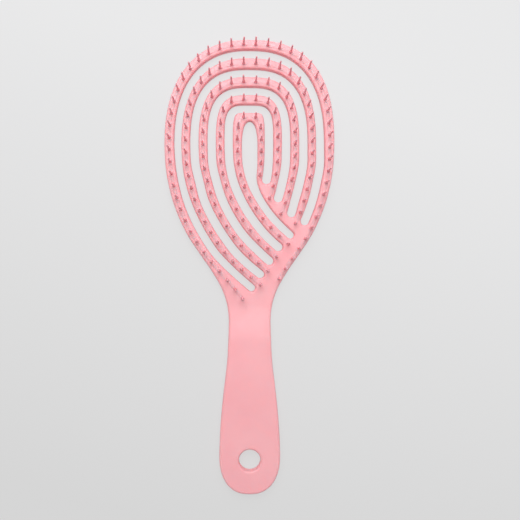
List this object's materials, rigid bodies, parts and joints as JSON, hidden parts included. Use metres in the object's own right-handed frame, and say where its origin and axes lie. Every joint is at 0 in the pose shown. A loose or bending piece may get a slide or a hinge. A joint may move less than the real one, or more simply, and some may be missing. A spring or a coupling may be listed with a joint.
{
  "type": "hair brush",
  "caption": "Flat detangling hair brush: an open head of nested arched loops carrying single rows of slim pins, on a tapered handle with a hang hole.",
  "frame": {"origin": "middle of the flat back, half way along the brush", "axes": "+Z out of the front, the way the pins point; +Y along the brush from the butt of the handle to the crown of the head; +X across it"},
  "size_m": [0.0866, 0.2308, 0.0171],
  "materials": {
    "frame_plastic": "moulded plastic with a soft sheen",
    "pin_plastic": "moulded flexible plastic with a soft sheen"
  },
  "bodies": {
    "root": {"brush_frame": "frame_plastic", "pins_loop_1_left": "pin_plastic", "pins_loop_1_right": "pin_plastic", "pins_loop_2_left": "pin_plastic", "pins_loop_2_right": "pin_plastic", "pins_loop_3_left": "pin_plastic", "pins_loop_3_right": "pin_plastic", "pins_loop_4_left": "pin_plastic", "pins_loop_4_right": "pin_plastic", "pins_loop_5_left": "pin_plastic", "pins_loop_5_right": "pin_plastic"}
  },
  "joints": []
}
